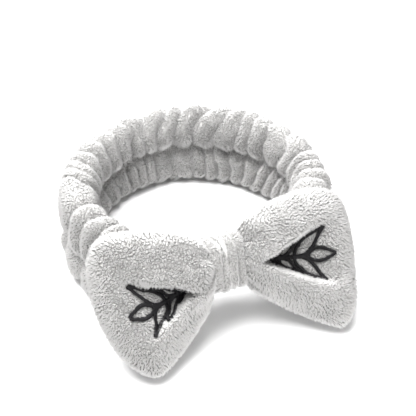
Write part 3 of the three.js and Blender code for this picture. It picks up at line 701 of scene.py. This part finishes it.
def sleeve_points(band):
    """Points of the gathered sleeve, and how far out each is, from -1 on the head side to 1."""
    degrees = np.linspace(0, 360, SLEEVE_ROUND, endpoint=False)
    centre, out, up, half_thickness, half_height = loop_frames(degrees, band.height / MM, band.thickness / MM)
    outness, upness = even_section(SLEEVE_ACROSS)
    run = np.concatenate([[0], np.cumsum(np.linalg.norm(np.diff(centre[:, :2], axis=0), axis=1))])
    along = (run / (run[-1] + run[1]))[:, None]
    free = 1 - squeeze(degrees)[:, None]

    plain = (
        centre[:, None]
        + out[:, None] * ((half_thickness - PILE_ALLOWANCE)[:, None] * outness)[..., None]
        + up[:, None] * ((half_height - PILE_ALLOWANCE)[:, None] * upness)[..., None]
    )
    outness, upness, _ = np.broadcast_arrays(outness, upness, plain[..., 0])
    outside, inside = ease(outness, -0.2, 0.5), ease(-outness, -0.2, 0.5)

    wander = ripple(plain, 34, 11)
    twist = 0.3 * upness * ripple(plain, 60, 13)
    gathers = band.gathers * along + 0.62 * wander + 0.2 * ripple(plain, 14, 12) + twist
    ridges = np.abs(np.sin(math.pi * gathers)) ** 0.75
    fine_gathers = band.inner_gathers * along + 0.42 * ripple(plain, 20, 14)
    fine_ridges = np.abs(np.sin(math.pi * fine_gathers)) ** 0.85
    low_inside = inside * (1 - ease(upness, -0.15, 0.2))
    strength = band.gather_depth / MM * np.clip(1 + 0.3 * ripple(plain, 20, 15), 0.75, 1.4)
    strength = strength * (0.3 + 0.7 * free)
    coarse, fine = ridges - GATHER_MEAN, fine_ridges - INNER_GATHER_MEAN
    relief = strength * ((1 - low_inside) * coarse + 0.95 * low_inside * fine)

    grip = band.grip_depth / MM
    drift = 0.08 * ripple(plain, 45, 16) - 0.14 * (ridges - 0.64)
    relief -= free * outside * grip * 0.9 * bump(upness, -0.12 + drift, 0.2)
    relief -= free * inside * grip * 1.2 * bump(upness, drift, 0.2)
    relief += free * inside * 1.6 * bump(upness, 0.5, 0.35)
    relief -= free * LOW_INSIDE_SET_BACK * low_inside
    tuck = bump(degrees[:, None], TUCK_AT - TUCK_SLANT * upness, TUCK_HALF_WIDTH)
    relief -= TUCK_DEPTH * tuck * inside * bump(upness, 0.25, 0.5)
    relief += 0.6 * ripple(plain, 14, 17) + 0.25 * ripple(plain, 7, 18)
    relief = np.maximum(relief, (ELASTIC_ROOM + PILE_ALLOWANCE - half_thickness)[:, None])
    normals = grid_normals(plain, True, True)
    points = plain + normals * sign_along(normals, plain - centre[:, None]) * relief[..., None]
    rear = ease(plain[..., 1] - LOOP_MIDDLE[1], -10, 40)
    points[..., 2] += free * (REAR_RISE * rear + 1.2 * ripple(plain, 40, 19)) * ease(upness, -0.4, 0.6)
    points[..., 2] = np.maximum(points[..., 2], FLOOR_CLEARANCE)
    return points, outness


def make_fleece(cover, nap, density, length):
    """Gives a cover its ground material and what its pile grows by; density and length are shares."""
    point_values(cover, "nap", nap)
    point_values(cover, "pile_density", density)
    point_values(cover, "pile_length", length)
    finish = bpy.context.scene.headband_finish
    give_material(cover, shared_material("fleece_ground", fleece_ground_material, finish))


def brushed(points):
    """Direction of the nap: along the second direction of a grid that closes on itself."""
    return unit(np.roll(points, -1, 1) - points)


class HEADBAND_OT_sleeve(bpy.types.Operator):
    """Makes the gathered sleeve round the loop"""

    bl_idname = "headband.sleeve"
    bl_label = "Gathered sleeve"

    def execute(self, context):
        scene = context.scene
        points, outness = sleeve_points(scene.headband_band)
        faces = grid_faces(SLEEVE_ROUND, SLEEVE_ACROSS, True, True)
        sleeve = faces_outward(make_object("sleeve_cover", points, faces))
        fall = -brushed(points) * np.sign(outness + 1e-6)[..., None]
        every = np.ones(points[..., 0].size)
        make_fleece(sleeve, fall.reshape(-1, 3), every, every * SLEEVE_PILE_SHARE)
        return {"FINISHED"}


WING_ALONG, WING_ACROSS = 84, 110
ROOT_REACH = 0.12  # share of a wing's length that its cover goes on inside the wrap
PILE_STARTS = (-0.08, -0.04)  # shares of the wing's length over which its pile sets in
PILE_TRIMMED = 0.45  # beside the embroidery the pile is shorter by this share
FILLING_PRESSURE = 4.0
FILLING_FRAMES = 20
FILLING_VOXEL = 4.5
FILLING_REACH = 2.2  # the filling moves no part of the cloth further than this
FILLING_NEIGHBOURS = 5


def filled(points, faces):
    """A cover's points once its filling has pressed the cloth out into soft folds."""
    scene = bpy.context.scene
    cloth = make_object("cloth", points, faces)
    bpy.context.view_layer.objects.active = cloth
    cloth.data.remesh_voxel_size = FILLING_VOXEL * MM
    bpy.ops.object.voxel_remesh()
    before = mesh_points(cloth.data)
    settings = cloth.modifiers.new("Cloth", "CLOTH").settings
    settings.use_pressure = True
    settings.uniform_pressure_force = FILLING_PRESSURE
    settings.effector_weights.gravity = 0.0
    for k in range(1, FILLING_FRAMES + 1):
        scene.frame_set(k)
    evaluated = cloth.evaluated_get(bpy.context.evaluated_depsgraph_get())
    moves = mesh_points(evaluated.data) - before
    far = np.linalg.norm(moves, axis=1, keepdims=True)
    moves *= np.minimum(1, FILLING_REACH / np.maximum(far, 1e-6))
    mesh = cloth.data
    bpy.data.objects.remove(cloth)
    bpy.data.meshes.remove(mesh)
    scene.frame_set(1)

    tree = KDTree(len(before))
    for k, place in enumerate(before):
        tree.insert(place, k)
    tree.balance()
    result = points.copy()
    for k, place in enumerate(points):
        near = tree.find_n(place, FILLING_NEIGHBOURS)
        weights = np.array([1 / (distance + 0.5) ** 2 for _, _, distance in near])
        result[k] += weights @ moves[[index for _, index, _ in near]] / weights.sum()
    return result


def wing_cover(side, bow):
    """One closed cover for a wing: front and back cloth joined round the rim, and closed inside the wrap."""
    s = np.sin(np.linspace(0, math.pi / 2, WING_ALONG)) * (1 + ROOT_REACH) - ROOT_REACH
    s[-1] = 1.0
    t = np.sin(np.linspace(-math.pi / 2, math.pi / 2, WING_ACROSS))
    s, t = np.meshgrid(s, t, indexing="ij")
    front, back = wing_front(side, s, t, bow), wing_back(side, s, t, bow)
    return s, t, front, back


def ruffled(points, s, t, normals, seed):
    """Cloth that is not quite smooth: lumps of filling, and folds that run out of the pinch."""
    run = np.clip(s, 0, 1)
    lumps = 0.9 * ripple(points, 17, seed) + 0.4 * ripple(points, 8, seed + 1)
    pinch = 1.1 * (1 - run) ** 3 * np.cos(2 * math.pi * (2.6 * t + 0.35 * ripple(points, 25, seed + 2)))
    edge = np.maximum(1 - np.abs(t) ** 6, 0) * np.maximum(1 - run ** 10, 0)
    return points + normals * ((lumps + pinch) * edge)[..., None]


def wing_mesh(side, bow):
    s, t, front, back = wing_cover(side, bow)
    front_normals, back_normals = grid_normals(front, False, False), grid_normals(back, False, False)
    out_of_front = bow_point(0, 0, 1, WING_LEAN) - bow_point(0, 0, 0, WING_LEAN)
    front_normals *= sign_along(front_normals, out_of_front)
    back_normals *= sign_along(back_normals, -out_of_front)
    seed = 40 if side < 0 else 60
    front = ruffled(front, s, t, front_normals, seed)
    back = ruffled(back, s, t, back_normals, seed + 5)
    loop = np.concatenate([front, back[:, -2:0:-1]], 1)
    rows, columns = loop.shape[:2]
    points = np.concatenate([loop.reshape(-1, 3), loop[:1].mean(1)])
    faces = grid_faces(rows, columns, False, True)
    root = rows * columns
    faces += [[(j + 1) % columns, j, root] for j in range(columns)]
    last = (rows - 1) * columns
    width = WING_ACROSS
    for j in range(1, width - 2):
        faces.append([last + j, last + j + 1, last + columns - j - 1, last + columns - j])
    faces.append([last, last + 1, last + columns - 1])
    faces.append([last + width - 2, last + width - 1, last + width])
    return points, faces, s, loop


class HEADBAND_OT_wings(bpy.types.Operator):
    """Makes the padded wings of the bow"""

    bl_idname = "headband.wings"
    bl_label = "Bow wings"

    def execute(self, context):
        scene = context.scene
        for side, name in ((-1, "left"), (1, "right")):
            points, faces, s, loop = wing_mesh(side, scene.headband_bow)
            points = filled(points, faces)
            cover = faces_outward(make_object(f"{name}_wing_cover", points, faces))
            fall = unit(np.gradient(loop, axis=0)) * 0.6 + np.array([0.0, -0.35, -0.8])
            normals = grid_normals(loop, False, True)
            fall = unit(fall - normals * np.sum(fall * normals, -1, keepdims=True))
            nap = np.concatenate([fall.reshape(-1, 3), [[0, 0, 0]]])
            shown = ease(np.concatenate([s, s[:, -2:0:-1]], 1), *PILE_STARTS)
            shown = np.concatenate([shown.reshape(-1), [0]])
            clear = stroke_clearance(side, cover, scene)
            make_fleece(cover, nap, shown * clear, 1 - PILE_TRIMMED * (1 - clear))
        return {"FINISHED"}


# ---- The wrap ------------------------------------------------------------------------------------
WRAP_ROUND, WRAP_ACROSS = 220, 56
WRAP_INSET = 0.3  # the cover's inner and outer cloth lie this far inside the solid's faces
WRAP_PILE_ALLOWANCE = 1.4
WRAP_PUFF = 1.6  # the front is this much fuller in the middle of the strip
WRAP_COVER_POWER = WRAP_POWER + 0.12  # a little rounder than the solid
WRAP_CREASES = ((-5.8, 4.2, 71), (-1.0, 4.8, 72), (3.8, 4.2, 73))  # place, depth and seed
CREASE_HALF_WIDTH = 1.3


class HEADBAND_OT_knot(bpy.types.Operator):
    """Makes the fleece wrap that holds the bow on the sleeve"""

    bl_idname = "headband.knot"
    bl_label = "Wrap"

    def execute(self, context):
        scene = context.scene
        half_width = scene.headband_bow.wrap_width / MM / 2
        turn = np.linspace(0, 2 * math.pi, WRAP_ROUND, endpoint=False)[:, None]
        strip = np.linspace(0, 2 * math.pi, WRAP_ACROSS, endpoint=False)[None]
        across = signed_power(np.cos(strip), 0.7)
        thick = signed_power(np.sin(strip), 0.8)
        upper, front = np.maximum(np.sin(turn), 0) ** 2, np.maximum(np.cos(turn), 0)
        wide = half_width * (1 + 0.16 * upper - 0.1 * front * (1 - upper))
        x = across * wide - 0.4
        outer = np.maximum(thick, 0)
        inset = WRAP_INSET + (WRAP_THICKNESS - 2 * WRAP_INSET - WRAP_PILE_ALLOWANCE) * outer
        middle = (WRAP_FRONT - WRAP_BACK) / 2
        half_depth = (WRAP_FRONT + WRAP_BACK) / 2 + inset + WRAP_PUFF * outer * (1 - across**2) * front
        half_height = WRAP_HALF_HEIGHT + inset
        w = middle + half_depth * signed_power(np.cos(turn), WRAP_COVER_POWER)
        v = half_height * signed_power(np.sin(turn), WRAP_COVER_POWER)
        points = bow_point(x, v, w, KNOT_LEAN)
        normals = grid_normals(points, True, True)
        away = points - bow_point(x, 0, middle, KNOT_LEAN)
        outer_half = slice(0, WRAP_ACROSS // 2)
        normals *= sign_along(normals[:, outer_half], away[:, outer_half])
        crease = np.zeros_like(x)
        for place, depth, seed in WRAP_CREASES:
            line = place + 1.3 * ripple(points, 20, seed)
            crease -= depth * bump(x, line, CREASE_HALF_WIDTH) * (0.75 + 0.25 * ripple(points, 16, seed + 5))
        relief = outer * (crease + 0.5 * ripple(points, 9, 74) + 0.7 * ripple(points, 20, 75))
        points = points + normals * relief[..., None]
        faces = grid_faces(WRAP_ROUND, WRAP_ACROSS, True, True)
        wrap = faces_outward(make_object("knot_wrap_cover", points, faces))
        fall = np.array([0.0, -0.3, -1.0]) + 0.2 * brushed(points)
        shown = ease(outer, 0.02, 0.25).repeat(WRAP_ROUND, 0).reshape(-1)
        make_fleece(wrap, unit(fall).reshape(-1, 3), shown, np.full(shown.size, WRAP_PILE_SHARE))
        return {"FINISHED"}


# ---- Embroidery ----------------------------------------------------------------------------------
# A sprig, as in the solids: the stem's points, then each leaf's start and tip, in shares along and up the
# wing, and half its width in millimetres.
STEM = [(0.13, -0.06), (0.28, -0.08), (0.44, -0.09), (0.6, -0.08)]
LEAVES = [
    ((0.18, -0.07), (0.33, 0.2), 2.6),
    ((0.18, -0.07), (0.33, -0.33), 2.6),
    ((0.32, -0.08), (0.52, 0.33), 3.3),
    ((0.32, -0.08), (0.51, -0.47), 3.3),
    ((0.47, -0.09), (0.73, 0.38), 3.9),
    ((0.47, -0.09), (0.71, -0.52), 3.9),
    ((0.58, -0.08), (0.81, -0.06), 3.5),
]
SHARE_SIZE = np.array([66.0, 34.0])  # millimetres of one share along the wing, and up it
SPRIG_SHIFT = {-1: -0.12, 1: 0.07}  # the sprigs follow the valleys, which are not level with each other
LINE_POINTS = 40
LEAF_FULLEST = 0.85  # below 1, a leaf is fullest nearer its start
PILE_CLEARED = (0.55, 1.15)  # from and to these shares of half a stroke's width, the pile comes back


def sprig_lines(side):
    """The sprig's lines on a wing: its stem, and two edges for each leaf."""
    stem = np.array(STEM)
    run = np.linspace(0, len(stem) - 1, LINE_POINTS)
    lines = [np.stack([np.interp(run, np.arange(len(stem)), stem[:, k]) for k in (0, 1)], -1)]
    k = np.linspace(0, 1, LINE_POINTS)[:, None]
    for start, tip, half in LEAVES:
        axis = (np.array(tip) - start) * SHARE_SIZE
        side_step = np.array([-axis[1], axis[0]]) / np.linalg.norm(axis) / SHARE_SIZE
        for edge in (-1, 1):
            bulge = edge * half * np.sin(math.pi * k**LEAF_FULLEST)
            lines.append(start + (np.array(tip) - start) * k + bulge * side_step)
    return [line + (0.0, SPRIG_SHIFT[side]) for line in lines]


def lines_on_wing(side, cover, bow):
    """The sprig's lines on a wing's cover, each as its points and the cloth's normals there."""
    cloth = BVHTree.FromObject(cover, bpy.context.evaluated_depsgraph_get())
    lines = []
    for line in sprig_lines(side):
        planned = wing_front(side, line[:, 0], line[:, 1], bow)
        hits = [cloth.find_nearest(Vector(place) * MM) for place in planned]
        lines.append((np.array([hit[0] for hit in hits]) / MM, np.array([hit[1] for hit in hits])))
    return lines


def stroke_clearance(side, cover, scene):
    """0 on the embroidered lines and 1 clear of them."""
    half = scene.headband_stitch.width / MM / 2
    points = mesh_points(cover.data)
    nearest = np.full(len(points), 1e9)
    for places, _ in lines_on_wing(side, cover, scene.headband_bow):
        for place in places:
            nearest = np.minimum(nearest, np.linalg.norm(points - place, axis=1))
    return ease(nearest, half * PILE_CLEARED[0], half * PILE_CLEARED[1])


class HEADBAND_OT_embroidery(bpy.types.Operator):
    """Sews the leaf sprigs on the wings in satin stitch"""

    bl_idname = "headband.embroidery"
    bl_label = "Embroidery"

    def execute(self, context):
        scene = context.scene
        stitch, finish = scene.headband_stitch, scene.headband_finish
        tree = satin_tree()
        material = shared_material("embroidery_thread", embroidery_material, finish)
        for side, name in ((-1, "left"), (1, "right")):
            places, normals, edges = [], [], []
            cover = bpy.data.objects[f"{name}_wing_cover"]
            for here, normal in lines_on_wing(side, cover, scene.headband_bow):
                first = sum(len(p) for p in places)
                places.append(here + normal * (stitch.rise / MM))
                normals.append(normal)
                edges += [(first + k, first + k + 1) for k in range(len(here) - 1)]
            lines = bpy.data.meshes.new("sprig_lines")
            lines.from_pydata((np.concatenate(places) * MM).tolist(), edges, [])
            carrier = bpy.data.objects.new("sprig_lines", lines)
            point_values(carrier, "cloth_normal", np.concatenate(normals))
            made = grown(
                f"{name}_embroidery_thread", carrier, tree, pitch=stitch.pitch, width=stitch.width,
                thread=stitch.thread, seed=side + 5, material=material,
            )
            bpy.data.objects.remove(carrier)
            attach(made, f"{name}_wing")
            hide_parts(f"{name}_embroidery")
        return {"FINISHED"}


# ---- Pile ----------------------------------------------------------------------------------------
SLEEVE_PILE_PIECES = 8  # each sleeve piece holds its share of the tufts all round the loop
WING_PILE_DENSITY, WRAP_PILE_DENSITY = 1.15, 1.2  # over the sleeve's
PILE_FLOOR = 0.2  # the lowest a tuft reaches


class HEADBAND_OT_pile(bpy.types.Operator):
    """Grows the pile on every cover"""

    bl_idname = "headband.pile"
    bl_label = "Pile"

    def execute(self, context):
        scene = context.scene
        pile = scene.headband_pile
        tree = pile_tree()
        material = shared_material("fleece_pile", pile_material, scene.headband_finish)
        density = pile.density / MM**2
        pieces = range(SLEEVE_PILE_PIECES)
        jobs = [("sleeve_cover", f"sleeve_pile_{k + 1}", density / SLEEVE_PILE_PIECES, k) for k in pieces]
        for name in ("left", "right"):
            jobs.append((f"{name}_wing_cover", f"{name}_wing_pile", density * WING_PILE_DENSITY, 20))
        jobs.append(("knot_wrap_cover", "knot_wrap_pile", density * WRAP_PILE_DENSITY, 30))
        for base, name, amount, seed in jobs:
            grown(
                name, bpy.data.objects[base], tree, density=amount, length=pile.length, width=pile.width,
                nap=pile.nap, ruffle=pile.ruffle, clump=pile.clump, clump_size=pile.clump_size, seed=seed,
                floor=PILE_FLOOR * MM, material=material,
            )
        return {"FINISHED"}


class HEADBAND_OT_bodies(bpy.types.Operator):
    """Sets the sleeve's and wings' covers and pile in place, ties the wrap and its pile to the front body,
    and hides the solids they stand for
    """

    bl_idname = "headband.bodies"
    bl_label = "Bodies"

    def execute(self, context):
        objects = bpy.data.objects
        sleeve = objects["sleeve_cover"]
        pieces = [sleeve] + [objects[f"sleeve_pile_{k + 1}"] for k in range(SLEEVE_PILE_PIECES)]
        for piece in pieces:
            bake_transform(piece)
        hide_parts(*SLEEVE_NODES)
        for side, name in ((-1, "left"), (1, "right")):
            cover = objects[f"{name}_wing_cover"]
            for piece in (cover, objects[f"{name}_wing_pile"]):
                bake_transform(piece)
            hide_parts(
                f"{name}_wing_front_panel", f"{name}_wing_back_panel", f"{name}_wadding",
                f"{name}_embroidery_backing", f"{name}_wing_edge_seam", f"{name}_pleat",
            )
        wrap = objects["knot_wrap_cover"]
        for piece in (wrap, objects["knot_wrap_pile"]):
            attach(piece, "front")
        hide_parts("knot_wrap")
        return {"FINISHED"}


class HEADBAND_OT_inner(bpy.types.Operator):
    """Gives the elastic, seams and waist inside the covers their finishes"""

    bl_idname = "headband.inner"
    bl_label = "Inner pieces"

    def execute(self, context):
        finish = context.scene.headband_finish
        elastic = plain_material("elastic_tape", finish.elastic, 0.7)
        thread = plain_material("sewing_thread", finish.thread, 0.6)
        ground = shared_material("fleece_ground", fleece_ground_material, finish)
        for name, node in frame["nodes"].items():
            if node.hide_render:
                continue
            if name.startswith("elastic_") and name != "elastic_lap_stitch":
                give_material(node, elastic)
            elif name == "bow_waist":
                give_material(node, ground)
            else:
                give_material(node, thread)
        return {"FINISHED"}


# ---- Stage ---------------------------------------------------------------------------------------
CAMERA_AZIMUTH, CAMERA_ELEVATION = -16.8, 38.2
CAMERA_DISTANCE = 0.6
CAMERA_LENS = 78.4
CAMERA_SENSOR = 36.0
LOOK_HEIGHT = 0.027
LOOK_RIGHT, LOOK_DOWN = 0.0097, 0.00225
FLOOR_REACH = 9000.0
ROOM_LIGHT = 0.43
LIGHTS_AIM = (0.0, 0.0, 0.02)
LIGHTS = (  # name, place, size and watts
    ("key_light", (-0.2, 0.1, 1.1), 1.0, 34.0),
    ("front_light", (0.0, -1.1, 0.3), 0.5, 6.0),
)


def place_camera(scene):
    a, e = math.radians(CAMERA_AZIMUTH), math.radians(CAMERA_ELEVATION)
    back = Vector((math.sin(a) * math.cos(e), -math.cos(a) * math.cos(e), math.sin(e)))
    middle = Vector((LOOP_MIDDLE[0] * MM, LOOP_MIDDLE[1] * MM, LOOK_HEIGHT))
    right = Vector((math.cos(a), math.sin(a), 0.0))
    up = back.cross(right)
    target = middle + right * LOOK_RIGHT - up * LOOK_DOWN
    camera = placed("camera", bpy.data.cameras.new("camera"))
    camera.data.lens = CAMERA_LENS
    camera.data.sensor_width = CAMERA_SENSOR
    camera.data.clip_start = 0.01
    camera.location = middle + back * CAMERA_DISTANCE
    camera.rotation_euler = (target - camera.location).to_track_quat("-Z", "Y").to_euler()
    scene.camera = camera


def soft_light(name, place, size, watts):
    light = placed(name, bpy.data.lights.new(name, "AREA"))
    light.data.shape = "DISK"
    light.data.size = size
    light.data.energy = watts
    light.location = place
    light.rotation_euler = (Vector(LIGHTS_AIM) - Vector(place)).to_track_quat("-Z", "Y").to_euler()


class HEADBAND_OT_stage(bpy.types.Operator):
    """Makes the pale floor, soft light and camera"""

    bl_idname = "headband.stage"
    bl_label = "Stage"

    def execute(self, context):
        scene = context.scene
        corners = [(-1, -1, 0), (1, -1, 0), (1, 1, 0), (-1, 1, 0)]
        floor = make_object("floor", np.array(corners) * FLOOR_REACH, [[0, 1, 2, 3]])
        give_material(floor, plain_material("pale_floor", scene.headband_finish.floor, 0.9))
        world = bpy.data.worlds.new("studio")
        scene.world = world
        world.use_nodes = True
        background = world.node_tree.nodes["Background"].inputs
        background["Color"].default_value = (1.0, 1.0, 1.0, 1.0)
        background["Strength"].default_value = ROOM_LIGHT
        for name, place, size, watts in LIGHTS:
            soft_light(name, place, size, watts)
        scene.view_settings.view_transform = "Standard"
        place_camera(scene)
        return {"FINISHED"}


STEPS = (
    HEADBAND_OT_sleeve,
    HEADBAND_OT_wings,
    HEADBAND_OT_knot,
    HEADBAND_OT_pile,
    HEADBAND_OT_embroidery,
    HEADBAND_OT_bodies,
    HEADBAND_OT_inner,
    HEADBAND_OT_stage,
)


class HEADBAND_PT_panel(bpy.types.Panel):
    """Lists the headband's steps and sizes"""

    bl_label = "Spa headband"
    bl_idname = "HEADBAND_PT_panel"
    bl_space_type = "VIEW_3D"
    bl_region_type = "UI"
    bl_category = "Headband"

    def draw(self, context):
        for step in STEPS:
            self.layout.operator(step.bl_idname)
        for group, kind in SETTINGS.items():
            box = self.layout.box()
            box.label(text=kind.__doc__)
            for name in kind.__annotations__:
                box.prop(getattr(context.scene, group), name)


def register():
    for kind in (*SETTINGS.values(), *STEPS, HEADBAND_PT_panel):
        bpy.utils.register_class(kind)
    for name, kind in SETTINGS.items():
        setattr(bpy.types.Scene, name, bpy.props.PointerProperty(type=kind))


def unregister():
    for name in SETTINGS:
        delattr(bpy.types.Scene, name)
    for kind in reversed((*SETTINGS.values(), *STEPS, HEADBAND_PT_panel)):
        bpy.utils.unregister_class(kind)


def main():
    register()
    bpy.ops.headband.sleeve()
    bpy.ops.headband.wings()
    bpy.ops.headband.knot()
    bpy.ops.headband.pile()
    bpy.ops.headband.embroidery()
    bpy.ops.headband.bodies()
    bpy.ops.headband.inner()
    bpy.ops.headband.stage()


if __name__ == "__main__":
    main()
